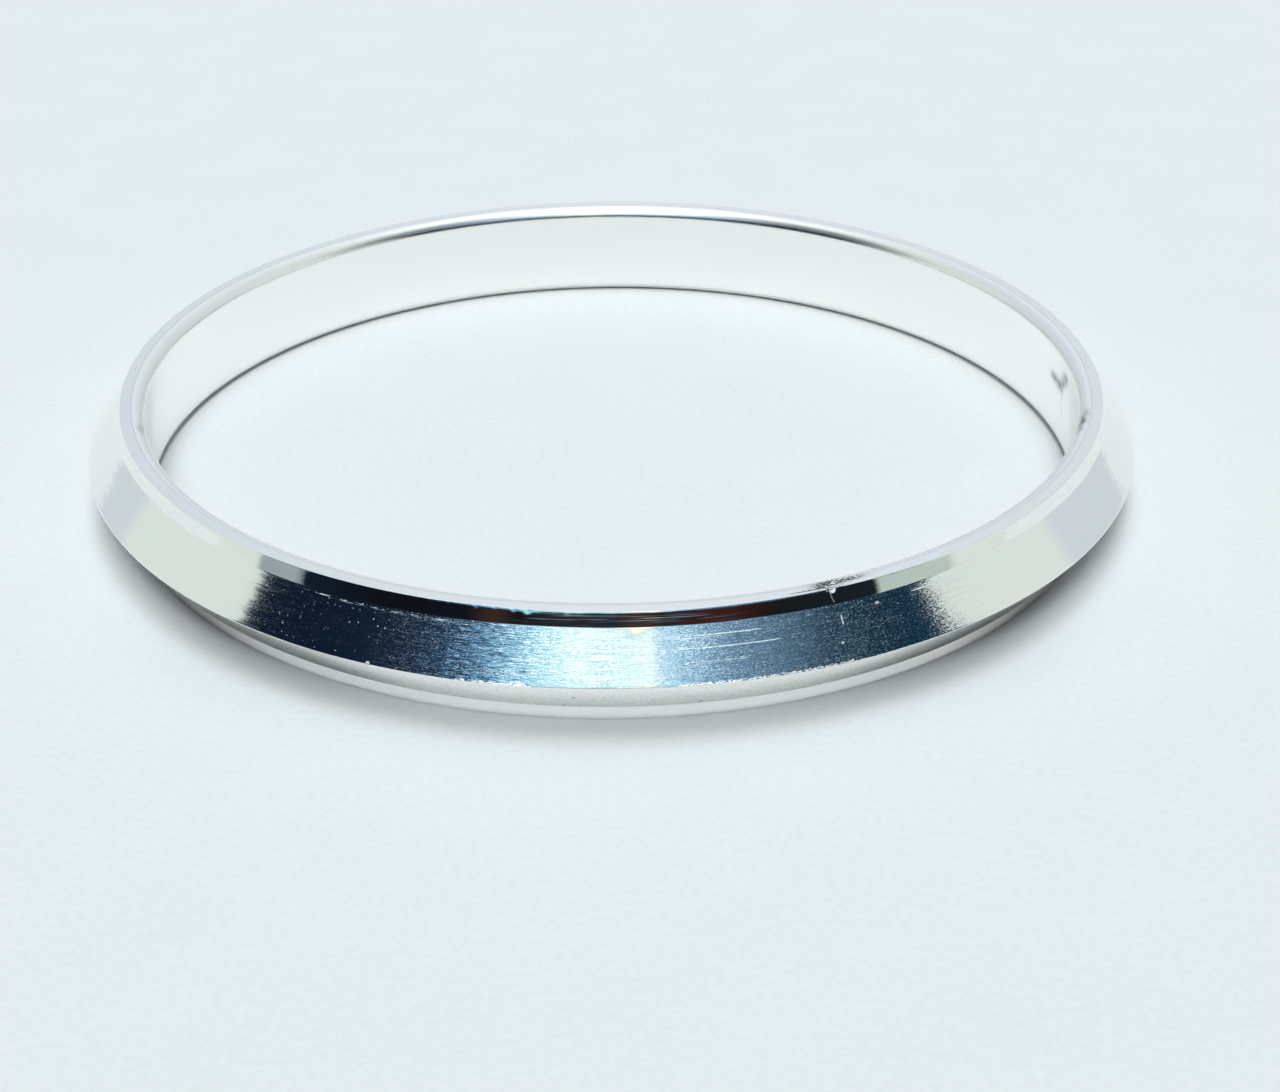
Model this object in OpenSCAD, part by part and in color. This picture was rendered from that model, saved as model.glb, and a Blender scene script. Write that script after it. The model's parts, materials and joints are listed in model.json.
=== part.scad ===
// Kada bangle: a one-piece turned silver ring that lies flat, with its axis along +Z.
// The origin is on the axis, level with the lower rim.
// The band's section is a straight inner wall with well rounded edges, a flat rim above and below,
// a narrow steep facet beside each rim, and two wide slopes that meet in a sharp ridge half way up.

/* [Wrist opening] */
// Inside diameter of the straight wall that goes round the wrist
inner_d = 66.7; // [52:0.1:80]

/* [Band] */
// Height of the band from rim to rim
band_h = 7.54; // [6:0.02:14]
// Distance from the inner wall out to the corner of the middle ridge
ridge_t = 4.25; // [3.4:0.05:6]
// Distance from the inner wall out to the outer edge of each rim
rim_w = 1.68; // [1.3:0.02:2.4]

/* [Upper facet] */
// Height of the narrow steep facet beside the upper rim
upper_facet_h = 0.91; // [0.5:0.01:2.2]
// How far that facet leans outwards over its height
upper_facet_lean = 0.36; // [0.05:0.01:0.6]

/* [Lower facet] */
// Height of the narrow steep facet beside the lower rim
lower_facet_h = 1.14; // [0.5:0.01:2.2]
// How far that facet leans outwards over its height
lower_facet_lean = 0.34; // [0.05:0.01:0.6]

/* [Rounded edges] */
// Rounding of the edge between each rim and the inner wall
inner_round = 0.92; // [0.3:0.02:1.1]
// Rounding of the edge between each rim and its narrow facet
rim_round = 0.06; // [0.03:0.01:0.15]
// Rounding of the middle ridge
ridge_round = 0.08; // [0.03:0.01:0.3]

/* [Hidden] */

inner_r = inner_d / 2;
ridge_h = band_h / 2;

// Steps in which each rounded edge is turned
ARC_STEPS = 6;
// Sides of the drawn circle, for previews
ROUND_SIDES = 240;

// Columns of the section's corners: distance out from the inner wall, height, rounding
REACH = 0;
HEIGHT = 1;
ROUNDING = 2;
corners = [
    [0,                        0,                      inner_round],
    [rim_w,                    0,                      rim_round],
    [rim_w + lower_facet_lean, lower_facet_h,          0],
    [ridge_t,                  ridge_h,                ridge_round],
    [rim_w + upper_facet_lean, band_h - upper_facet_h, 0],
    [rim_w,                    band_h,                 rim_round],
    [0,                        band_h,                 inner_round]
];

// Place of corner i in the section, counted round the list
function corner_at(i) =
    let (c = corners[(i + len(corners)) % len(corners)])
    [inner_r + c[REACH], c[HEIGHT]];

// Points of the arc of radius r that rounds corner b, which lies between a and c
function arc_points(a, b, c, r) =
    let (
        to_a = (a - b) / norm(a - b),
        to_c = (c - b) / norm(c - b),
        half_angle = acos(to_a * to_c) / 2,
        tangent = r / tan(half_angle),
        centre = b + (to_a + to_c) / norm(to_a + to_c) * r / sin(half_angle),
        start = b + to_a * tangent - centre,
        end = b + to_c * tangent - centre,
        sweep = 180 - 2 * half_angle
    )
    [for (i = [0 : ARC_STEPS])
        centre + (start * sin(sweep * (1 - i / ARC_STEPS)) + end * sin(sweep * i / ARC_STEPS)) / sin(sweep)];

// The section's outline, with its rounded edges
function section_points() = [
    for (i = [0 : len(corners) - 1])
        if (corners[i][ROUNDING] > 0)
            each arc_points(corner_at(i - 1), corner_at(i), corner_at(i + 1), corners[i][ROUNDING])
        else
            corner_at(i)
];

module bangle() {
    color([0.88, 0.89, 0.9])
        rotate_extrude($fn = ROUND_SIDES)
            polygon(section_points());
}

bangle();
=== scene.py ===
"""A silver kada bangle, lying flat on a pale floor.

The band is one closed surface, its section carried round a circle. Its burr, chips, nick and dents
are lifts of that surface along its own normal. Its scratches, specks, pits and tarnish are in its
finishes, and so are some painted shade on its lower part and rim and a painted blue reflection on
its slope.
"""
import json
import math
import bpy
import numpy as np
from mathutils import Matrix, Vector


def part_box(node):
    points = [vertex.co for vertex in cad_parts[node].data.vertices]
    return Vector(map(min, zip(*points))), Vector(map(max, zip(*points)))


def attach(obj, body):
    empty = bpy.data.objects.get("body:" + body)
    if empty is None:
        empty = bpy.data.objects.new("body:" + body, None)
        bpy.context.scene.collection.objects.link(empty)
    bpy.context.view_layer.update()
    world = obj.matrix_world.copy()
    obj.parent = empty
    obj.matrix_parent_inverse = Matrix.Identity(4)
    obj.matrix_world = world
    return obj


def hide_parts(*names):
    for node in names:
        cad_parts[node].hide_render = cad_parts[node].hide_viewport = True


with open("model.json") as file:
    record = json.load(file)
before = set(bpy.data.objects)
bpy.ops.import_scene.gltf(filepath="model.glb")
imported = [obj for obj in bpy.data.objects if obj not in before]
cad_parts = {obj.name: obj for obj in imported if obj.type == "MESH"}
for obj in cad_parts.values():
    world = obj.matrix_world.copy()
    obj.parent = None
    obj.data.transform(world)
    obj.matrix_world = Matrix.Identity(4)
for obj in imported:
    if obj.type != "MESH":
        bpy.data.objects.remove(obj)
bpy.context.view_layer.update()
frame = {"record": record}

MM = 0.001

# Sizes of the band in millimetres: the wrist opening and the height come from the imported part
record_mounts = {mount["name"]: mount for mount in frame["record"]["mounts"]}
WRIST_R = record_mounts["wrist_bore"]["dims"]["r_mm"]
BAND_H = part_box("bangle")[1].z / MM
RIDGE_T = 4.25
RIM_W = 1.68
UPPER_FACET_LEAN, UPPER_FACET_H = 0.36, 0.91
LOWER_FACET_LEAN, LOWER_FACET_H = 0.34, 1.14
INNER_ROUND = 0.92
RIM_ROUND = 0.06
CREASE_ROUND = 0.10
RIDGE_ROUND = 0.08

# Heights of the ridge and of the crease above it, and how much height each broad slope covers
RIDGE_H = BAND_H / 2
UPPER_CREASE_H = BAND_H - UPPER_FACET_H
UPPER_SLOPE_H = UPPER_CREASE_H - RIDGE_H
LOWER_SLOPE_H = RIDGE_H - LOWER_FACET_H
# Radius of the rims' outer edges, and the radii that patterns and marks are measured round
RIM_R = WRIST_R + RIM_W
PATTERN_R = 35.0
MARK_R = 36.0

# The camera: its place round the band, and where the band's centre falls in a 1280 by 1092 picture
PICTURE_W, PICTURE_H = 1280, 1092
FOCAL_PX = 2246.96
CAMERA_ELEVATION = math.radians(25.301)
CAMERA_DISTANCE = 165.13 * MM
CAMERA_ROLL = -0.00936
BAND_CENTRE_PX = (612.47, 415.0)
SENSOR_W_MM = 36.0


def place_camera():
    """Looks at the band's centre from the front, then pans and tilts until it falls on its pixel."""
    sine, cosine = math.sin(CAMERA_ELEVATION), math.cos(CAMERA_ELEVATION)
    look = np.array([[1.0, 0.0, 0.0], [0.0, -sine, -cosine], [0.0, cosine, -sine]])
    across = (BAND_CENTRE_PX[0] - PICTURE_W / 2) / FOCAL_PX
    down = (BAND_CENTRE_PX[1] - PICTURE_H / 2) / FOCAL_PX
    pan = math.atan(across)
    tilt = math.atan(down * math.cos(pan))
    roll_turn = np.array(Matrix.Rotation(CAMERA_ROLL, 3, "Z"))
    tilt_turn = np.array(Matrix.Rotation(-tilt, 3, "X"))
    pan_turn = np.array(Matrix.Rotation(pan, 3, "Y"))
    rows = pan_turn @ tilt_turn @ roll_turn @ look
    camera = bpy.data.objects.new("camera", bpy.data.cameras.new("camera"))
    bpy.context.scene.collection.objects.link(camera)
    camera.data.sensor_width = SENSOR_W_MM
    camera.data.lens = FOCAL_PX * SENSOR_W_MM / PICTURE_W
    camera.data.clip_start = 5 * MM
    camera.data.clip_end = 10.0
    turn = Matrix([rows[0], -rows[1], -rows[2]]).transposed().to_4x4()
    eye = (0.0, -CAMERA_DISTANCE * cosine, RIDGE_H * MM + CAMERA_DISTANCE * sine)
    camera.matrix_world = Matrix.Translation(eye) @ turn
    bpy.context.scene.camera = camera


place_camera()


# The section of the band

FINISHES = ["turned_slope", "cut_facet", "flat_rim", "inner_wall", "lower_slope", "lower_facet"]

# Its corners in turn: name, reach out from the inner wall, height, rounding, steps in the rounding,
# the finish of the side that follows, and how many parts that side is split into
CORNERS = [
    ("lower_inner_edge", 0, 0, INNER_ROUND, 5, "flat_rim", 2),
    ("lower_rim_edge", RIM_W, 0, RIM_ROUND, 3, "lower_facet", 3),
    ("lower_crease", RIM_W + LOWER_FACET_LEAN, LOWER_FACET_H, CREASE_ROUND, 3, "lower_slope", 6),
    ("ridge", RIDGE_T, RIDGE_H, RIDGE_ROUND, 4, "turned_slope", 10),
    ("upper_crease", RIM_W + UPPER_FACET_LEAN, UPPER_CREASE_H, CREASE_ROUND, 3, "cut_facet", 5),
    ("rim_edge", RIM_W, BAND_H, RIM_ROUND, 4, "flat_rim", 6),
    ("inner_edge", 0, BAND_H, INNER_ROUND, 8, "inner_wall", 14),
]


def corner_arc(before, corner, after, radius, steps):
    """Arc that rounds a corner: a turn about the centre that lies the radius away from both sides."""
    to_before = (before - corner) / np.linalg.norm(before - corner)
    to_after = (after - corner) / np.linalg.norm(after - corner)
    half = np.arccos(to_before @ to_after) / 2
    middle = (to_before + to_after) / np.linalg.norm(to_before + to_after)
    centre = corner + middle * radius / np.sin(half)
    start = corner + to_before * radius / np.tan(half) - centre
    end = corner + to_after * radius / np.tan(half) - centre
    sweep = np.pi - 2 * half
    share = np.linspace(0, 1, steps + 1)[:, None]
    turned = start * np.sin(sweep * (1 - share)) + end * np.sin(sweep * share)
    return centre + turned / np.sin(sweep)


def unit_rows(rows):
    """Each row divided by its own length."""
    return rows / np.linalg.norm(rows, axis=1)[:, None]


def section():
    """The section as a dictionary: its points as (reach, height), how far round it each one lies, the
    way its surface faces there, the finish after each point, and how far round each corner lies.

    Each corner is an arc, and each side between two arcs is split by a cosine rule that puts its
    points closer together near its ends.
    """
    places = [np.array(corner[1:3], float) for corner in CORNERS]
    count = len(CORNERS)
    arcs = [corner_arc(places[i - 1], places[i], places[(i + 1) % count], *CORNERS[i][3:5])
            for i in range(count)]
    points, finishes, middles = [], [], {}
    for i, (name, _, _, _, steps, finish, parts) in enumerate(CORNERS):
        arc, following = arcs[i], arcs[(i + 1) % count]
        middles[name] = sum(len(piece) for piece in points) + steps // 2
        share = (1 - np.cos(np.pi * np.arange(1, parts) / parts)) / 2
        points += [arc, arc[-1] + (following[0] - arc[-1]) * share[:, None]]
        finish_before = CORNERS[i - 1][5]
        finishes += [finish_before] * (steps // 2) + [finish] * (steps - steps // 2 + parts)
    points = np.concatenate(points)
    before, after = points - np.roll(points, 1, axis=0), np.roll(points, -1, axis=0) - points
    heading = unit_rows(unit_rows(before) + unit_rows(after))
    run = np.concatenate([[0], np.cumsum(np.linalg.norm(after, axis=1))[:-1]])
    return {
        "points": points,
        "run": run,
        "facing": np.stack([heading[:, 1], -heading[:, 0]], axis=1),
        "finishes": np.array([FINISHES.index(name) for name in finishes]),
        "corners": {name: run[index] for name, index in middles.items()},
    }


# Steps round the band: they are closest within FRONT_REACH degrees of the front and at its dents
STEPS_ROUND = 1300
FRONT_REACH, FRONT_SOFTNESS, FRONT_DENSITY = 48, 3, 4.0
DENTED_BEARINGS, DENTED_REACH, DENTED_DENSITY = (93.4, 74.3, -74.0), 2.5, 3.0
DENSITY_SAMPLES = 20001


def angles():
    """Angles round the band: equal steps of the running sum of a density, which is 1, more round the
    front by an S-curve, and more at the dents by flat-topped bells.
    """
    fine = np.linspace(-np.pi, np.pi, DENSITY_SAMPLES)
    degrees = np.degrees(fine)
    past_front = (np.abs(degrees) - FRONT_REACH) / FRONT_SOFTNESS
    density = 1.0 + FRONT_DENSITY / (1 + np.exp(past_front))
    for bearing in DENTED_BEARINGS:
        density += DENTED_DENSITY * np.exp(-((degrees - bearing) / DENTED_REACH) ** 4)
    so_far = np.concatenate([[0], np.cumsum((density[1:] + density[:-1]) / 2)])
    return np.interp(np.arange(STEPS_ROUND) / STEPS_ROUND * so_far[-1], so_far, fine)


# Marks of use, with bearings in degrees, 0 at the front and 90 to the right, and sizes in millimetres

# Stretches where the ridge is torn: from and to
RIDGE_BURRS = [(-15.0, -7.4), (5.6, 23.2)]
# Chips in the rim's outer edge: bearing, half length and depth
RIM_CHIPS = [(-16.2, 0.12, 0.008), (-13.4, 0.18, 0.010), (-11.6, 0.12, 0.009),
             (-9.8, 0.14, 0.013), (-8.4, 0.20, 0.015), (28.7, 0.15, 0.016)]
# The nick in the rim: its bearing and how far in from the rim's outer edge it lies, then its trail
NICK_BEARING, NICK_INSET = 21.9, 0.42
NICK_TRAIL = (22.9, 25.6)
# Dents in the inner wall: bearing, how far down from the middle of its rounded edge, size and depth
WALL_DENTS = [(96.8, 2.62, 0.45, 0.09), (91.9, 1.50, 0.45, 0.09), (94.2, 2.66, 0.50, 0.10),
              (93.0, 2.10, 0.40, 0.07), (74.1, -0.17, 0.42, 0.09), (76.3, -0.33, 0.40, 0.045),
              (72.0, -0.15, 0.40, 0.035), (-74.2, -0.15, 0.40, 0.04)]


def uneven(around, across, cell_around, cell_across, seed):
    """Random values from -1 to 1 at the corners of a lattice, blended smoothly between them; the
    lattice closes on itself round the band.
    """
    count = max(3, int(round(2 * np.pi * PATTERN_R / cell_around)))
    u = (around / (2 * np.pi) + 0.5) * count
    v = across / cell_across
    lattice = np.random.default_rng(seed).uniform(-1, 1, (count, int(v.max()) + 3))
    i, j = np.floor(u).astype(int), np.floor(v).astype(int)
    fu, fv = u - i, v - j
    fu, fv = fu * fu * (3 - 2 * fu), fv * fv * (3 - 2 * fv)
    i, i2 = i % count, (i + 1) % count
    lower = lattice[i, j] * (1 - fu) + lattice[i2, j] * fu
    upper = lattice[i, j + 1] * (1 - fu) + lattice[i2, j + 1] * fu
    return lower * (1 - fv) + upper * fv


def uneven_round(around, cell, seed):
    """Random values as above that change only round the band."""
    return uneven(around, 0 * around, cell, 1.0, seed)


def hump(value, middle, half_width):
    """1 in the middle, falling as a bell."""
    return np.exp(-((value - middle) / half_width) ** 2)


def plateau(value, low, high, soft):
    """1 between low and high, with soft ends."""
    return (1 + np.tanh((value - low) / soft)) * (1 + np.tanh((high - value) / soft)) / 4


def slow_wave(around, run):
    """A long wave and a short one, smooth random values over cells of their size."""
    long_wave = uneven(around, run, cell_around=9.0, cell_across=3.0, seed=3)
    short_wave = uneven(around, run, cell_around=2.2, cell_across=1.5, seed=4)
    return 0.004 * long_wave + 0.0012 * short_wave


def ridge_burr(around, run, ridge, rough):
    """A lip that falls off above the ridge as half a bell of uneven width. It is high by an uneven
    height where the ridge is torn, and slightly rough all the way round.
    """
    torn = sum(plateau(np.degrees(around), *stretch, soft=0.6) for stretch in RIDGE_BURRS)
    width = 0.10 + 0.05 * uneven_round(around, 0.6, 9) + 0.04 * uneven_round(around, 0.17, 10)
    height = 0.5 + 0.5 * uneven_round(around, 0.35, 11) + 0.3 * uneven_round(around, 0.15, 12)
    begins = run > ridge - 0.2
    lip = hump(np.maximum(run - ridge, 0), 0, width) * begins
    return lip * torn * 0.012 * np.clip(height, 0, 1.2) + 0.0015 * lip * rough


def worn_edge(around, run, rim_edge):
    """Wear of the rim's outer edge: a bell across it, times an uneven depth that is largest to the
    left of the front.
    """
    coarse = np.clip(uneven_round(around, 0.55, 7), 0, 1)
    fine = np.clip(uneven_round(around, 0.22, 8), 0, 1)
    depth = 0.002 + 0.003 * plateau(np.degrees(around), -22, 2, soft=2)
    return -hump(run, rim_edge, 0.09) * depth * (coarse + 0.5 * fine)


def rim_chips(around, run, rim_edge, rough):
    """Chips in the rim's outer edge: each is a rough bell cut away, with a third of its depth pushed
    up in a smaller bell beside it.
    """
    lift = 0.0
    for bearing, length, depth in RIM_CHIPS:
        arc = (around - math.radians(bearing)) * RIM_R
        cut = hump(run, rim_edge, 0.11) * hump(arc, 0, length) * (1 + 0.5 * rough)
        pushed = hump(run, rim_edge + 0.17, 0.06) * hump(arc, length, length)
        lift = lift + depth * (0.35 * pushed - cut)
    return lift


def rim_nick(around, run, rim_edge, rough):
    """The nick, a bell cut away inside a ring of raised rough metal, and its rough trail."""
    arc = (around - math.radians(NICK_BEARING)) * RIM_R
    across = run - (rim_edge + NICK_INSET)
    away = np.hypot(arc / 1.7, across)
    cut = 0.12 * hump(away, 0, 0.26)
    curl = 0.05 * hump(away, 0.42, 0.10) * (1 + 0.8 * rough)
    trail = plateau(np.degrees(around), *NICK_TRAIL, soft=0.25) * hump(across, 0.08, 0.16)
    return curl - cut + 0.035 * trail * rough


def wall_dents(around, run, inner_edge):
    """Plain punch dents in the inner wall: each is a bell pressed in, inside a low raised ring."""
    lift = 0.0
    for bearing, down, size, depth in WALL_DENTS:
        arc = (around - math.radians(bearing)) * WRIST_R
        away = np.hypot(arc, run - inner_edge - down)
        lift = lift + depth * (0.3 * hump(away, size * 1.5, size * 0.4) - hump(away, 0, size))
    return lift


def lift_of_surface(around, run, corners):
    """How far each spot of the band is lifted along its own facing, in millimetres: the sum of its
    slow wave and all its marks. Rough metal is two sizes of smooth random values.
    """
    coarse = uneven(around, run, cell_around=0.20, cell_across=0.11, seed=5)
    fine = uneven(around, run, cell_around=0.11, cell_across=0.08, seed=6)
    rough = coarse + 0.6 * fine
    return (slow_wave(around, run) + ridge_burr(around, run, corners["ridge"], rough)
            + worn_edge(around, run, corners["rim_edge"])
            + rim_chips(around, run, corners["rim_edge"], rough)
            + rim_nick(around, run, corners["rim_edge"], rough)
            + wall_dents(around, run, corners["inner_edge"]))


def wall_place(down):
    """Distance from the axis and height of the spot this far down the inner wall from the middle of
    its rounded edge: first round the arc, then straight down.
    """
    half_arc = math.pi / 4
    turn = half_arc - min(max(down / INNER_ROUND, -half_arc), half_arc)
    below_arc = max(down - half_arc * INNER_ROUND, 0.0)
    radius = WRIST_R + INNER_ROUND * (1 - math.cos(turn))
    return radius, BAND_H - INNER_ROUND * (1 - math.sin(turn)) - below_arc


def grid_faces(rows, columns):
    """Four-cornered faces of a grid that closes on itself both ways, as numbers of its points."""
    j, i = np.meshgrid(np.arange(rows), np.arange(columns), indexing="ij")
    j2, i2 = (j + 1) % rows, (i + 1) % columns
    corners = [j * columns + i, j2 * columns + i, j2 * columns + i2, j * columns + i2]
    return np.stack(corners, axis=-1).reshape(-1, 4)


def build_band():
    """Carries the section round the band, each spot lifted along its facing, closed both ways."""
    shape = section()
    around, run = angles()[:, None], shape["run"][None, :]
    lift = lift_of_surface(around, run, shape["corners"])
    radius = WRIST_R + shape["points"][:, 0] + lift * shape["facing"][:, 0]
    z = shape["points"][:, 1] + lift * shape["facing"][:, 1]
    points = np.stack([np.sin(around) * radius, -np.cos(around) * radius, z], axis=-1) * MM
    quads = grid_faces(*radius.shape)
    finishes = np.broadcast_to(shape["finishes"], radius.shape)
    mesh = bpy.data.meshes.new("bangle_band")
    mesh.vertices.add(radius.size)
    mesh.vertices.foreach_set("co", points.astype(np.float32).ravel())
    mesh.loops.add(quads.size)
    mesh.loops.foreach_set("vertex_index", quads.astype(np.int32).ravel())
    mesh.polygons.add(len(quads))
    mesh.polygons.foreach_set("loop_start", np.arange(0, quads.size, 4, dtype=np.int32))
    mesh.polygons.foreach_set("material_index", finishes.astype(np.int32).ravel())
    mesh.update(calc_edges=True)
    mesh.shade_smooth()
    mesh.validate()
    band = bpy.data.objects.new("bangle_band", mesh)
    bpy.context.scene.collection.objects.link(band)
    return band


# Nodes

class Value:
    """An output of a node, which can be added, subtracted, multiplied and divided like a number."""

    def __init__(self, nodes, socket):
        self.nodes = nodes
        self.socket = socket

    def __add__(self, other):
        return self.nodes.calc("ADD", self, other)

    def __radd__(self, other):
        return self.nodes.calc("ADD", other, self)

    def __sub__(self, other):
        return self.nodes.calc("SUBTRACT", self, other)

    def __rsub__(self, other):
        return self.nodes.calc("SUBTRACT", other, self)

    def __mul__(self, other):
        return self.nodes.calc("MULTIPLY", self, other)

    def __rmul__(self, other):
        return self.nodes.calc("MULTIPLY", other, self)

    def __truediv__(self, other):
        return self.nodes.calc("DIVIDE", self, other)

    def __rtruediv__(self, other):
        return self.nodes.calc("DIVIDE", other, self)


class Nodes:
    """Adds nodes to one node tree."""

    def __init__(self, owner):
        owner.use_nodes = True
        self.tree = owner.node_tree
        self.tree.nodes.clear()

    def feed(self, socket, value):
        """Links a value to a socket, or sets the socket to a number, a direction or a colour."""
        if isinstance(value, Value):
            self.tree.links.new(value.socket, socket)
        else:
            socket.default_value = value

    def add(self, kind, inputs=None, **settings):
        """Adds a node, sets what it says, and feeds its inputs."""
        node = self.tree.nodes.new(kind)
        for name, value in settings.items():
            setattr(node, name, value)
        for name, value in (inputs or {}).items():
            self.feed(node.inputs[name], value)
        return node

    def output(self, kind, name=0, inputs=None, **settings):
        """Adds a node and gives one of its outputs."""
        return Value(self, self.add(kind, inputs, **settings).outputs[name])

    def calc(self, operation, a, b=0.0, c=0.0):
        return self.output("ShaderNodeMath", 0, {0: a, 1: b, 2: c}, operation=operation)

    def vector_calc(self, operation, a, b=(0.0, 0.0, 0.0), scale=1.0):
        name = "Value" if operation in ("LENGTH", "DOT_PRODUCT") else "Vector"
        return self.output("ShaderNodeVectorMath", name, {0: a, 1: b, 3: scale}, operation=operation)

    def split(self, vector):
        """The three parts of a direction or place."""
        node = self.add("ShaderNodeSeparateXYZ", {"Vector": vector})
        return [Value(self, socket) for socket in node.outputs]

    def bearing(self, x, y):
        """The bearing of a direction in degrees, 0 at the front and 90 to the right."""
        return self.calc("ARCTAN2", x, y * -1.0) * math.degrees(1)

    def step(self, value, low, high):
        """Rises smoothly from 0 at low to 1 at high, or falls if high is below low."""
        if low > high:
            return 1.0 - self.step(value, high, low)
        return self.output("ShaderNodeMapRange", "Result",
                           {"Value": value, "From Min": low, "From Max": high},
                           interpolation_type="SMOOTHSTEP")

    def between(self, value, low, high, soft):
        """1 from low to high, and 0 outside, with soft ends."""
        rise = self.step(value, low - soft, low + soft)
        return rise * self.step(value, high + soft, high - soft)

    def bell(self, value, middle, half_width):
        """1 where the value is at the middle, falling off as a bell."""
        off = (value - middle) / half_width
        return self.calc("EXPONENT", off * off * -1.0)

    def clipped(self, value):
        """The value, held between 0 and 1."""
        return self.calc("MINIMUM", self.calc("MAXIMUM", value, 0.0), 1.0)

    def blend(self, share, a, b):
        """Colour a where the share is 0 and b where it is 1."""
        node = self.add("ShaderNodeMix", data_type="RGBA")
        sockets = {socket.identifier: socket for socket in [*node.inputs, *node.outputs]}
        self.feed(sockets["Factor_Float"], share)
        for name, colour in (("A_Color", a), ("B_Color", b)):
            self.feed(sockets[name], colour if isinstance(colour, Value) else (*colour, 1.0))
        return Value(self, sockets["Result_Color"])

    def colours_round(self, bearing, stops):
        """Colours by bearing, blended from stop to stop."""
        share = self.output("ShaderNodeMapRange", "Result",
                            {"Value": bearing, "From Min": -180, "From Max": 180})
        ramp = self.add("ShaderNodeValToRGB", {"Fac": share})
        elements = ramp.color_ramp.elements
        elements.remove(elements[1])
        elements[0].position = 0.0
        elements[0].color = (*stops[0][1], 1.0)
        for place, colour in stops[1:]:
            elements.new((place + 180) / 360).color = (*colour, 1.0)
        return Value(self, ramp.outputs["Color"])


class Surface(Nodes):
    """A material with one shader."""

    def __init__(self, name):
        self.material = bpy.data.materials.new(name)
        super().__init__(self.material)
        self.shader = self.add("ShaderNodeBsdfPrincipled")
        out = self.add("ShaderNodeOutputMaterial")
        self.tree.links.new(self.shader.outputs["BSDF"], out.inputs["Surface"])

    def set(self, name, value):
        self.feed(self.shader.inputs[name], value)


# Silver finishes

SILVER = (0.97, 0.955, 0.925)
WARM_SILVER = (1.0, 0.972, 0.942)
COOL_SILVER = (0.975, 0.965, 0.955)
# Blue painted into scratches and glints, a painted reflection of the blue they mirror
PAINTED_BLUE_SHEEN = (0.70, 0.88, 1.0)
# Dark colour for tarnish and grime, also used for painted shade on the lower slope, the lower edge and
# the rim
TARNISH_AND_PAINTED_SHADE = (0.115, 0.13, 0.12)

# A spot's place across the band is its height plus or minus its distance from the axis: plus on
# faces that look down or inwards, and minus on faces that look up and outwards
FACES_UP, FACES_DOWN = -1.0, 1.0
QUARTER_TURN = 0.25
# Tarnish in a dent: its half length and half width by the dent's size, the depth in millimetres up to
# which a dent counts as shallow, and how much tarnish a shallow one holds
TARNISH_LENGTH, TARNISH_WIDTH = 1.9, 0.75
SHALLOW_DENT, SHALLOW_DENT_SHARE = 0.05, 0.45


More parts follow.
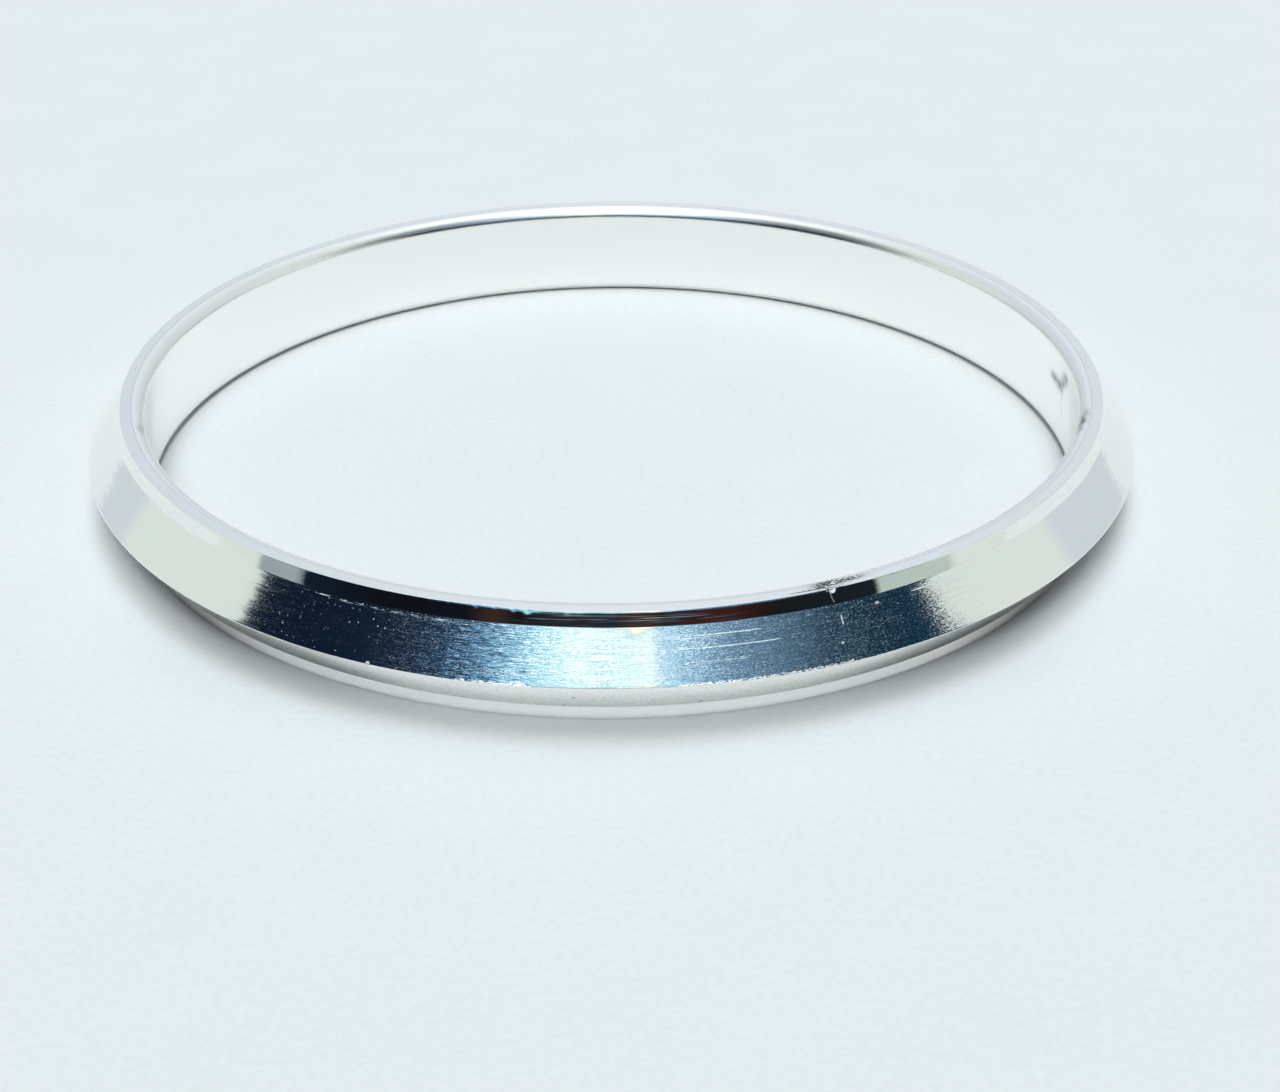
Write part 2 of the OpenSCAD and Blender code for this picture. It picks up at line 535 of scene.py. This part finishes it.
class Finish(Surface):
    """A silver finish of the band. It knows each spot's height and distance from the axis in
    millimetres, its bearing in degrees, and its place across the band.

    The roughness is what a viewer that reads no patterns shows.
    """

    def __init__(self, name, faces, roughness, stretched=0.0):
        super().__init__(name)
        self.set("Base Color", (*SILVER, 1.0))
        self.set("Metallic", 1.0)
        self.set("Roughness", roughness)
        self.set("Anisotropic", stretched)
        self.set("Anisotropic Rotation", QUARTER_TURN)
        spot = self.output("ShaderNodeTexCoord", "Object")
        self.x, self.y, z = self.split(spot)
        self.height = z / MM
        level = self.vector_calc("MULTIPLY", spot, (1.0, 1.0, 0.0))
        self.radius = self.vector_calc("LENGTH", level) / MM
        self.angle = self.bearing(self.x, self.y)
        self.across = self.radius * faces + self.height

    def pattern(self, along, across, detail=2.0, roughness=0.5):
        """Soft random pattern from 0 to 1, with cells of these two lengths along and across the band.

        The bearing is laid on a circle of one size, so that the pattern has no seam.
        """
        scale = PATTERN_R / along / MM / self.radius
        place = {"X": self.x * scale, "Y": self.y * scale, "Z": self.across / across}
        vector = self.output("ShaderNodeCombineXYZ", 0, place)
        return self.output("ShaderNodeTexNoise", "Fac", {
            "Vector": vector, "Scale": 1.0, "Detail": detail, "Roughness": roughness})

    def swing(self, pattern, amount):
        """Turns a pattern from 0 to 1 into one from minus the amount to the amount."""
        return pattern * (2 * amount) - amount

    def stretch(self, start, end, soft):
        """1 from one bearing to another, with soft ends."""
        return self.between(self.angle, start, end, soft)

    def stretches(self, rows):
        """Sum of stretches, each from its strength, its two bearings and its softness."""
        return sum(strength * self.stretch(*ends) for strength, *ends in rows)

    def patch(self, bearing, half_width):
        """A bell along the band, with its half width in degrees."""
        return self.bell(self.angle, bearing, half_width)

    def spots(self, place, marks):
        """Sum of small bells, each from its bearing, its place, and its half length and half width in
        millimetres. The place is a height or a distance from the axis.
        """
        degree = math.radians(1) * MARK_R
        return sum(self.patch(bearing, length / degree) * self.bell(place, middle, width)
                   for bearing, middle, length, width in marks)

    def slope_spots(self, marks):
        """The same on the broad slope, each placed by its share of the way down it."""
        return self.spots(self.height, [(bearing, UPPER_CREASE_H - share * UPPER_SLOPE_H, length, width)
                                        for bearing, share, length, width in marks])

    def slope_scratch(self, share, width, start, end, lean):
        """A thin scratch round the broad slope, this share of the way down it."""
        line = self.bell(self.height, UPPER_CREASE_H - share * UPPER_SLOPE_H, width)
        return line * self.stretch(start, end, soft=(end - start) * 0.15) * lean

    def lean(self, across, along=None):
        """Leans the surface by turning marks: up or down across the band, and a little along it."""
        facing = self.output("ShaderNodeNewGeometry", "Normal")
        sideways = self.output("ShaderNodeCombineXYZ", 0, {"X": self.y * -1.0, "Y": self.x})
        level = self.vector_calc("NORMALIZE", sideways)
        upward = self.vector_calc("CROSS_PRODUCT", facing, level)
        leaning = self.vector_calc("ADD", facing, self.vector_calc("SCALE", upward, scale=across))
        if along is not None:
            leaning = self.vector_calc("ADD", leaning, self.vector_calc("SCALE", level, scale=along))
        self.set("Normal", self.vector_calc("NORMALIZE", leaning))
        self.set("Tangent", level)

    def roughen(self, smooth, rough, share):
        """Roughness that goes from the smooth value to the rough one by the share."""
        self.set("Roughness", share * (rough - smooth) + smooth)

    def colour(self, dirt_and_painted_shade, warmth, torn=0.0):
        """Silver a little warmer or cooler from place to place, with a painted blue reflection where it
        is torn or glints, and darkened by tarnish and grime, and in some finishes by painted shade.
        """
        clouds = self.pattern(along=7.0, across=1.6, detail=3.0)
        clouded = self.blend(self.step(clouds, 0.30, 0.70), COOL_SILVER, WARM_SILVER)
        clouded = self.blend(warmth, SILVER, clouded)
        clouded = self.blend(torn, clouded, PAINTED_BLUE_SHEEN)
        # The dark share blends in tarnish and grime, and in some finishes painted shade
        self.set("Base Color", self.blend(dirt_and_painted_shade, clouded, TARNISH_AND_PAINTED_SHADE))

    def dent_marks(self, deep):
        """Tarnish in the deep or the shallow dents, placed by height plus distance from the axis,
        which grows all the way up the wall and over its rounded edge.
        """
        marks = [(bearing, sum(wall_place(down)), size * TARNISH_LENGTH, size * TARNISH_WIDTH)
                 for bearing, down, size, depth in WALL_DENTS if (depth > SHALLOW_DENT) == deep]
        return self.spots(self.height + self.radius, marks)

    def dent_tarnish(self):
        """Flecked tarnish lying in the dents, weaker in the shallow ones."""
        flecks = self.step(self.pattern(along=0.35, across=0.22, detail=3.0), 0.12, 0.55)
        shallow = self.dent_marks(deep=False) * SHALLOW_DENT_SHARE
        return self.clipped((shallow + self.dent_marks(deep=True)) * flecks)


# Scratches on the broad slope: share of the way down it, half width, from and to, and how far they
# lean the surface
SLOPE_SCRATCHES = [
    (0.18, 0.030, 4.0, 13.8, 0.62),
    (0.215, 0.016, 5.2, 10.5, 0.40),
    (0.39, 0.028, 4.4, 15.8, 0.62),
    (0.12, 0.020, 30.8, 35.2, 0.30),
    (0.62, 0.018, 6.4, 12.7, 0.40),
    (0.07, 0.022, -29.0, -12.0, 0.22),
    (0.80, 0.018, -14.4, 2.2, 0.22),
]
# A broken scuff just below the crease, given in the same way
CREASE_SCUFF = (0.05, 0.040, -31.5, -14.0, 0.36)
# Bright specks on the broad slope: bearing, share of the way down it, half length and half width
SLOPE_SPECKS = [
    (-26.1, 0.38, 0.030, 0.022), (-25.2, 0.35, 0.034, 0.022), (-23.7, 0.24, 0.032, 0.026),
    (-23.1, 0.34, 0.030, 0.028), (-22.3, 0.35, 0.045, 0.022), (-21.4, 0.34, 0.024, 0.022),
    (22.3, 0.28, 0.04, 0.22), (21.8, 0.65, 0.06, 0.06), (26.4, 0.14, 0.12, 0.04),
    (-23.2, 0.97, 0.12, 0.06),
]
# A shallow dip at the top of the slope that catches the small warm lamp, given in the same way
WARM_DIP = (2.1, 0.03, 0.65, 0.40)
# Stretches of the slope that sparkle: strength, from and to in degrees, and softness of the ends
SPARKLING = [(0.58, 5.5, 27.0, 3.5), (0.42, -22.0, -5.0, 3.0), (0.08, -38.0, -21.0, 3.0),
             (0.14, -30.0, 30.0, 6.0)]


def slope_burr(silver):
    """Ragged specks of torn metal along the ridge, thickest where it is torn."""
    near_ridge = silver.step(silver.height, RIDGE_H + 0.32, RIDGE_H + 0.04)
    torn = sum(silver.stretch(*ends, soft=1.2) for ends in RIDGE_BURRS) * 0.26 + 0.24
    ragged = silver.pattern(along=0.17, across=0.08)
    return silver.step(near_ridge * torn + ragged * 0.75, 0.80, 0.90)


def slope_dirt(silver):
    """Dark turning lines round the front half, and dark grit to the right of the front."""
    lines = silver.step(silver.pattern(along=5.0, across=0.04, detail=1.0), 0.46, 0.26)
    grit = silver.step(silver.pattern(along=0.17, across=0.075, detail=1.0), 0.50, 0.32)
    lines = lines * silver.stretch(-38.0, 38.0, soft=3.0)
    grit = grit * silver.stretch(3.0, 33.0, soft=4.0)
    return lines * 0.22 + grit * 0.55


def turned_slope():
    """Fine turning lines and a grain of torn specks, with a rough burr along the ridge."""
    silver = Finish("turned_slope", FACES_UP, roughness=0.08, stretched=0.6)
    fine = silver.pattern(along=0.13, across=0.07, detail=1.0)
    lines = silver.pattern(along=1.6, across=0.045)
    bands = silver.pattern(along=9.0, across=0.35, detail=1.0)
    specks = silver.step(silver.pattern(along=0.13, across=0.08, detail=0.0), 0.79, 0.86)
    burr = slope_burr(silver)
    broken = silver.step(silver.pattern(along=0.45, across=0.10, detail=3.0), 0.36, 0.62)
    scratches = sum(silver.slope_scratch(*scratch) for scratch in SLOPE_SCRATCHES)
    scratches = scratches + silver.slope_scratch(*CREASE_SCUFF) * broken
    across = (silver.swing(fine, 0.02) + silver.swing(lines, 0.03) + silver.swing(bands, 0.03)
              + scratches + silver.slope_spots(SLOPE_SPECKS) + burr * 0.65 + specks * 0.35
              - silver.slope_spots([WARM_DIP]) * 0.15)

    brushed = silver.pattern(along=0.60, across=0.050, roughness=0.6)
    speckled = silver.stretch(30.0, 44.0, soft=3.0)
    rubbed = silver.stretch(34.0, 50.0, soft=4.0) * silver.step(silver.height, UPPER_CREASE_H, RIDGE_H)
    along = (silver.swing(silver.pattern(along=0.5, across=0.05, detail=1.0), 0.010)
             + (brushed - 0.5) * silver.stretch(-24.0, -4.5, soft=3.0) * 0.42
             + (fine - 0.5) * speckled * 0.08 - rubbed * 0.032)
    silver.lean(across, along)

    sparkles = silver.step(fine + lines * 0.5, 0.72, 0.95) * (silver.stretches(SPARKLING) + 0.08)
    worn_lines = silver.step(lines, 0.48, 0.75) * (0.14 - speckled * 0.12)
    silver.roughen(0.07, 0.42, silver.clipped(sparkles + worn_lines + burr))
    # The torn share paints a blue reflection into the colour of the scratches and glinting specks
    silver.colour(silver.clipped(slope_dirt(silver)), warmth=0.6,
                  torn=silver.clipped(scratches * 1.6 + sparkles))
    return silver.material


# The curved scratch below the nick: its bearing at the rim, how much that grows with the square of
# the way down, its half width in degrees, and how far down it fades and is gone
CURVED_SCRATCH_BEARING, CURVED_SCRATCH_BEND, CURVED_SCRATCH_WIDTH = 21.6, 0.55, 0.07
CURVED_SCRATCH_FADES, CURVED_SCRATCH_GONE = 0.74, 0.86


def cut_facet():
    """Bright cut with fine lathe lines, a little tarnish in them, and one curved scratch."""
    silver = Finish("cut_facet", FACES_UP, roughness=0.05)
    fine = silver.pattern(along=2.5, across=0.04)
    cut_lines = silver.step(silver.pattern(along=6.0, across=0.05, detail=1.0), 0.56, 0.66)
    cut_lines = cut_lines * silver.stretch(-12.0, 20.0, soft=6.0)
    sideways = silver.swing(silver.pattern(along=0.6, across=0.08, detail=1.0), 0.003)
    silver.lean(cut_lines * 0.032 + silver.swing(fine, 0.02), sideways)
    lines = silver.step(fine, 0.50, 0.72)
    down = BAND_H - silver.height
    straightened = silver.angle - down * down * CURVED_SCRATCH_BEND
    scratch = silver.bell(straightened, CURVED_SCRATCH_BEARING, CURVED_SCRATCH_WIDTH)
    scratch = scratch * silver.step(down, CURVED_SCRATCH_GONE, CURVED_SCRATCH_FADES)
    silver.roughen(0.02, 0.34, silver.clipped(lines * 0.12 + scratch * 1.2))
    silver.colour(lines * 0.12, warmth=0.6)
    return silver.material


# Scars round the nick: bearing, distance in from it, half length and half width
NICK_CURL = (NICK_BEARING - 0.2, 0.06, 0.85, 0.42)
NICK_INSIDE = (NICK_BEARING, -0.10, 0.42, 0.16)
NICK_SCRAPES = [(24.4, 0.20, 0.95, 0.20), (19.4, -0.16, 1.0, 0.06)]


def nick_scar(silver):
    """Flecked scar round the nick: its curl and its scrapes, without the bright inside of the cut."""
    nick_r = RIM_R - NICK_INSET
    curl, inside, scrapes = [
        silver.spots(silver.radius, [(bearing, nick_r - inward, length, width)
                                     for bearing, inward, length, width in marks])
        for marks in ([NICK_CURL], [NICK_INSIDE], NICK_SCRAPES)]
    return silver.clipped((curl - inside * 1.4 + scrapes * 0.9) * 1.5)


def flat_rim():
    """Worn rim with faint turning lines, scarred and darkened round the nick, with a thin line of
    painted shade along its inner edge.
    """
    silver = Finish("flat_rim", FACES_UP, roughness=0.16)
    lines = silver.pattern(along=5.0, across=0.05)
    flecks = silver.pattern(along=0.20, across=0.10)
    scar = nick_scar(silver) * silver.step(flecks, 0.40, 0.47)
    silver.lean(scar * silver.swing(flecks, 0.9) + silver.swing(lines, 0.04))
    rounding_r = WRIST_R + INNER_ROUND
    rounded = silver.step(silver.radius, rounding_r, WRIST_R + 0.5 * INNER_ROUND)
    silver.roughen(0.12, 0.34, silver.clipped(rounded + silver.step(lines, 0.35, 0.75)))
    # A thin dark line of painted shade where the flat rim meets its inner rounding
    painted_edge_shade = silver.bell(silver.radius, rounding_r, 0.05)
    dirt_and_painted_shade = scar * 1.15 + painted_edge_shade * 0.16 + silver.dent_tarnish() * 0.85
    silver.colour(silver.clipped(dirt_and_painted_shade), warmth=0.5)
    return silver.material


# The slanting stain on the inner wall: its bearing at height and radius zero, how far it slants in
# degrees per millimetre, its half width in degrees, and how far down the wall it begins and ends
STAIN_BEARING, STAIN_SLANT, STAIN_WIDTH = 63.0, 0.80, 0.20
STAIN_TOP, STAIN_BOTTOM = 2.6, 4.8


def inner_wall():
    """Polished wall with soft clouds of warmer silver, a faint stain, and tarnish in its dents."""
    silver = Finish("inner_wall", FACES_DOWN, roughness=0.2)
    silver.lean(silver.swing(silver.pattern(along=6.0, across=0.15), 0.03))
    rounded = silver.step(silver.radius, WRIST_R + 0.02, WRIST_R + 0.15)
    clouds = silver.pattern(along=4.0, across=0.8)
    silver.roughen(0.13, 0.34, silver.clipped(clouds * 0.5 + rounded))
    line = silver.bell(silver.angle - silver.across * STAIN_SLANT, STAIN_BEARING, STAIN_WIDTH)
    stain = line * silver.between(silver.across, sum(wall_place(STAIN_BOTTOM)),
                                  sum(wall_place(STAIN_TOP)), soft=0.3)
    silver.colour(silver.clipped(silver.dent_tarnish() * 0.9 + stain * 0.3), warmth=0.8)
    return silver.material


# Casting pits in the lower slope: bearing, share of the way down it, half length and half width
LOWER_PITS = [
    (-3.9, 0.50, 0.09, 0.08), (-5.0, 0.97, 0.08, 0.06), (-1.0, 0.46, 0.05, 0.05),
    (8.4, 0.92, 0.10, 0.06), (-26.0, 0.70, 0.07, 0.07), (-11.0, 0.35, 0.05, 0.04),
    (-14.5, 0.55, 0.05, 0.05), (3.5, 0.62, 0.04, 0.04),
]


def lower_slope():
    """As cast and only lightly smoothed, with a few pits, and with painted shade along the crease and
    to the left and right of the front.
    """
    silver = Finish("lower_slope", FACES_DOWN, roughness=0.25)
    fine = silver.pattern(along=0.2, across=0.1, detail=1.0)
    silver.lean(silver.stretch(-34.0, 33.0, soft=10.0) * 0.38 + silver.swing(fine, 0.05))
    silver.roughen(0.18, 0.36, fine)
    pits = silver.spots(silver.height, [(bearing, RIDGE_H - share * LOWER_SLOPE_H, length, width)
                                        for bearing, share, length, width in LOWER_PITS])
    small_pits = silver.step(silver.pattern(along=0.16, across=0.12, detail=0.0), 0.16, 0.10)
    # Painted shade along the crease with the lower edge
    crease = silver.bell(silver.height, LOWER_FACET_H, 0.10)
    lines = silver.step(silver.pattern(along=4.0, across=0.10), 0.55, 0.30)
    # Painted shade about 30 degrees either side of the front, deepest towards the crease
    low = silver.step(silver.height, RIDGE_H - 0.15 * LOWER_SLOPE_H,
                      LOWER_FACET_H + 0.1 * LOWER_SLOPE_H)
    low = (low * 0.38 + 0.26) * (silver.patch(-29.0, 8.0) + silver.patch(31.0, 10.0))
    # Painted shade to the left and right of the front, where the slope mirrors the shadow at the band's
    # foot
    painted_side_shade = silver.patch(-42.0, 11.0) + silver.patch(43.0, 11.0) + low
    dirt_and_painted_shade = painted_side_shade * 0.66 + pits + small_pits * 0.5 + crease * 0.20 + lines * 0.10
    silver.colour(silver.clipped(dirt_and_painted_shade), warmth=0.6)
    return silver.material


def lower_facet():
    """Plain lower edge, smoother than the slope above it and turned in at its foot, with painted
    shade at its foot, along the crease, and to the left and right of the front.
    """
    silver = Finish("lower_facet", FACES_DOWN, roughness=0.2)
    fine = silver.pattern(along=0.2, across=0.1, detail=1.0)
    turned_in = silver.step(silver.height, 0.95, 0.0) * 0.22 + 0.20
    rubbed = silver.stretch(-46.0, 44.0, soft=10.0)
    silver.lean(rubbed * 0.24 + silver.swing(fine, 0.03) + turned_in)
    silver.roughen(0.15, 0.27, fine)
    # Painted shade at the foot, where the edge meets the floor
    foot = silver.step(silver.height, 0.22, 0.02)
    # Painted shade along the crease
    crease = silver.bell(silver.height, LOWER_FACET_H, 0.08)
    lines = silver.step(silver.pattern(along=3.0, across=0.08), 0.55, 0.30)
    # Painted shade to the left and right of the front, where the edge mirrors the shadow at its foot
    painted_side_shade = silver.patch(-51.0, 10.0) + silver.patch(52.0, 10.0)
    dirt_and_painted_shade = painted_side_shade * 0.48 + foot * 0.05 + crease * 0.18 + lines * 0.04
    silver.colour(silver.clipped(dirt_and_painted_shade), warmth=0.6)
    return silver.material


# Light and floor

WHITE_SCREEN = (0.69, 0.775, 0.745)
SHADED_SCREEN = (0.60, 0.67, 0.72)
CEILING = (0.84, 0.93, 0.93)
# Colours of the screens that the metal mirrors, by bearing in degrees, 0 at the camera and 90 to the
# right: first at the height that the broad slope mirrors, then lower, where the upper facet mirrors
HIGH_SCREENS = [
    (-180, (0.76, 0.84, 0.92)), (-170, (0.66, 0.74, 0.82)), (-160, (0.61, 0.69, 0.76)),
    (-127, SHADED_SCREEN), (-114, WHITE_SCREEN), (-84.0, WHITE_SCREEN), (-83.2, (0.004, 0.010, 0.026)),
    (-62, (0.004, 0.011, 0.028)), (-50.5, (0.006, 0.016, 0.036)), (-41, (0.010, 0.027, 0.062)),
    (-34, (0.028, 0.085, 0.18)), (-26, (0.15, 0.38, 0.62)), (-19.5, (0.36, 0.72, 0.89)),
    (-8.3, (0.54, 0.82, 0.87)), (-3, (0.35, 0.61, 0.68)), (2, (0.48, 0.77, 0.81)),
    (9.2, (0.88, 1.06, 1.04)), (10.2, (0.44, 0.72, 0.91)), (13.7, (0.38, 0.67, 0.87)),
    (21, (0.21, 0.39, 0.57)), (29.4, (0.12, 0.24, 0.37)), (39.8, (0.080, 0.16, 0.25)),
    (50, (0.022, 0.056, 0.092)), (62.2, (0.006, 0.030, 0.055)), (73.6, (0.005, 0.032, 0.070)),
    (74.8, WHITE_SCREEN), (111, WHITE_SCREEN), (114, (0.605, 0.68, 0.69)), (160, (0.65, 0.735, 0.77)),
    (170, (0.68, 0.76, 0.83)), (180, (0.76, 0.84, 0.92)),
]
LOW_SCREENS = [
    (-180, SHADED_SCREEN), (-120, SHADED_SCREEN), (-117, WHITE_SCREEN), (-80.3, WHITE_SCREEN),
    (-79.1, (0.30, 0.372, 0.39)), (-69.2, (0.32, 0.39, 0.41)), (-68.3, (0.006, 0.013, 0.027)),
    (-49, (0.005, 0.006, 0.010)), (-31, (0.006, 0.007, 0.012)), (-25, (0.040, 0.024, 0.018)),
    (-20, (0.008, 0.007, 0.011)), (-13, (0.022, 0.020, 0.028)), (0, (0.018, 0.019, 0.030)),
    (5, (0.05, 0.032, 0.028)), (10, (0.022, 0.019, 0.023)), (20, (0.045, 0.014, 0.012)),
    (31, (0.020, 0.010, 0.009)), (34, (0.008, 0.011, 0.013)), (57.0, (0.010, 0.015, 0.020)),
    (57.4, (0.45, 0.555, 0.52)), (74.5, (0.47, 0.57, 0.53)), (76.5, WHITE_SCREEN),
    (104, WHITE_SCREEN), (108, SHADED_SCREEN), (180, SHADED_SCREEN),
]
# Heights in degrees over which the low screens give way to the high ones, and those to the ceiling
SCREENS_MEET, CEILING_BEGINS = (14, 19), (58, 70)
# The small warm lamp that the metal mirrors: bearing, height and half width in degrees, and colour
WARM_LAMP_BEARING, WARM_LAMP_HEIGHT, WARM_LAMP_WIDTH = 5.0, 26.0, 4.0
WARM_LAMP = (2.4, 1.5, 0.85)
# The two soft lamps that light the floor: their directions from the band, how tightly they are
# gathered, and their strengths. One is small and above the camera, and one is a narrow strip
# overhead that runs from front to back.
FRONT_LAMP, FRONT_LAMP_POWER, FRONT_LAMP_STRENGTH = (-0.04, -0.611, 0.791), 130.0, 20.5
STRIP_LAMP, STRIP_LAMP_POWER, STRIP_LAMP_STRENGTH = (0.0, -0.08, 0.997), 10.0, 6.9
STRIP_LAMP_HALF_WIDTH = 0.21
# Even light from all round, how much of it the dark screens at the front take away, and their
# bearings, from and to, with the softness of their ends
EVEN_LIGHT, TAKEN_AWAY = 0.20, 0.18
DARK_SCREENS = (-84, 80, 8.0)
LAMP_COLOUR = (1.0, 1.045, 1.06, 1.0)
BACKDROP = (0.79, 0.863, 0.888, 1.0)


def lamp_glow(nodes, toward, direction, power):
    """How far a direction lies towards a lamp, from 0 to 1, raised to a power."""
    facing = nodes.vector_calc("DOT_PRODUCT", toward, direction)
    return nodes.calc("POWER", nodes.calc("MAXIMUM", facing, 0.0), power)


def mirrored_screens(nodes, bearing, height):
    """The light and dark screens, the ceiling above them and the small warm lamp in front of them."""
    low = nodes.colours_round(bearing, LOW_SCREENS)
    high = nodes.colours_round(bearing, HIGH_SCREENS)
    screens = nodes.blend(nodes.step(height, *SCREENS_MEET), low, high)
    screens = nodes.blend(nodes.step(height, *CEILING_BEGINS), screens, CEILING)
    lamp = (nodes.bell(bearing, WARM_LAMP_BEARING, WARM_LAMP_WIDTH)
            * nodes.bell(height, WARM_LAMP_HEIGHT, WARM_LAMP_WIDTH))
    return nodes.blend(lamp, screens, WARM_LAMP)


def studio_light():
    """Soft light that is brighter overhead, and light and dark screens that only the metal mirrors."""
    world = bpy.data.worlds.new("studio")
    bpy.context.scene.world = world
    nodes = Nodes(world)
    toward = nodes.output("ShaderNodeTexCoord", "Generated")
    x, y, z = nodes.split(toward)
    bearing = nodes.bearing(x, y)
    height = nodes.calc("ARCSINE", z) * math.degrees(1)
    shaded = nodes.between(bearing, *DARK_SCREENS) * nodes.step(z, 0.90, 0.60)
    strip = lamp_glow(nodes, toward, STRIP_LAMP, STRIP_LAMP_POWER)
    strip = strip * nodes.bell(x, 0.0, STRIP_LAMP_HALF_WIDTH)
    front = lamp_glow(nodes, toward, FRONT_LAMP, FRONT_LAMP_POWER)
    strength = (EVEN_LIGHT - shaded * TAKEN_AWAY + strip * STRIP_LAMP_STRENGTH
                + front * FRONT_LAMP_STRENGTH)
    screens = mirrored_screens(nodes, bearing, height)
    light = nodes.output("ShaderNodeBackground", 0, {"Color": LAMP_COLOUR, "Strength": strength})
    mirrored = nodes.output("ShaderNodeBackground", 0, {"Color": screens, "Strength": 1.0})
    beyond = nodes.output("ShaderNodeBackground", 0, {"Color": BACKDROP, "Strength": 1.0})
    path = nodes.add("ShaderNodeLightPath").outputs
    straight = nodes.calc("LESS_THAN", Value(nodes, path["Diffuse Depth"]), 0.5)
    straight = straight * Value(nodes, path["Is Glossy Ray"])
    seen = nodes.output("ShaderNodeMixShader", 0, {0: straight, 1: light, 2: mirrored})
    from_camera = Value(nodes, path["Is Camera Ray"])
    seen = nodes.output("ShaderNodeMixShader", 0, {0: from_camera, 1: seen, 2: beyond})
    nodes.add("ShaderNodeOutputWorld", {"Surface": seen})


# The floor: radii of its rings in metres, how many sides they have, and its two shades
FLOOR_RINGS = [0.0005, 0.2, 0.6, 2.4]
FLOOR_SIDES = 96
FLOOR_SHADES = (0.790, 0.827, 0.842), (0.828, 0.864, 0.876)


def lay_floor():
    """A wide round sheet at the height of the lower rim, made of rings round a small middle face."""
    turns = np.linspace(0, 2 * np.pi, FLOOR_SIDES, endpoint=False)
    rings = np.array(FLOOR_RINGS)[:, None]
    x, y = rings * np.cos(turns), rings * np.sin(turns)
    points = np.stack([x, y, 0 * x], axis=-1).reshape(-1, 3)
    k, t = np.meshgrid(np.arange(len(rings) - 1), np.arange(FLOOR_SIDES), indexing="ij")
    t2 = (t + 1) % FLOOR_SIDES
    inner, outer = k * FLOOR_SIDES, (k + 1) * FLOOR_SIDES
    quads = np.stack([inner + t, outer + t, outer + t2, inner + t2], axis=-1).reshape(-1, 4)
    mesh = bpy.data.meshes.new("floor")
    mesh.from_pydata(points.tolist(), [], quads.tolist() + [list(range(FLOOR_SIDES))])
    floor = bpy.data.objects.new("floor", mesh)
    bpy.context.scene.collection.objects.link(floor)
    sheet = Surface("pale_sheet")
    spot = sheet.output("ShaderNodeTexCoord", "Object")
    fine, broad = [
        sheet.output("ShaderNodeTexNoise", "Fac",
                     {"Vector": spot, "Scale": scale / MM, "Detail": detail})
        for scale, detail in ((2.2, 2.0), (0.12, 3.0))]
    mottle = fine * 0.75 + broad * 0.25
    sheet.set("Base Color", sheet.blend(sheet.step(mottle, 0.30, 0.70), *FLOOR_SHADES))
    sheet.set("Roughness", 0.9)
    sheet.set("Specular IOR Level", 0.0)
    mesh.materials.append(sheet.material)


band = build_band()
for finish in (turned_slope, cut_facet, flat_rim, inner_wall, lower_slope, lower_facet):
    band.data.materials.append(finish())
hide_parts("bangle")
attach(band, "root")
studio_light()
lay_floor()
bpy.context.scene.view_settings.view_transform = "Standard"
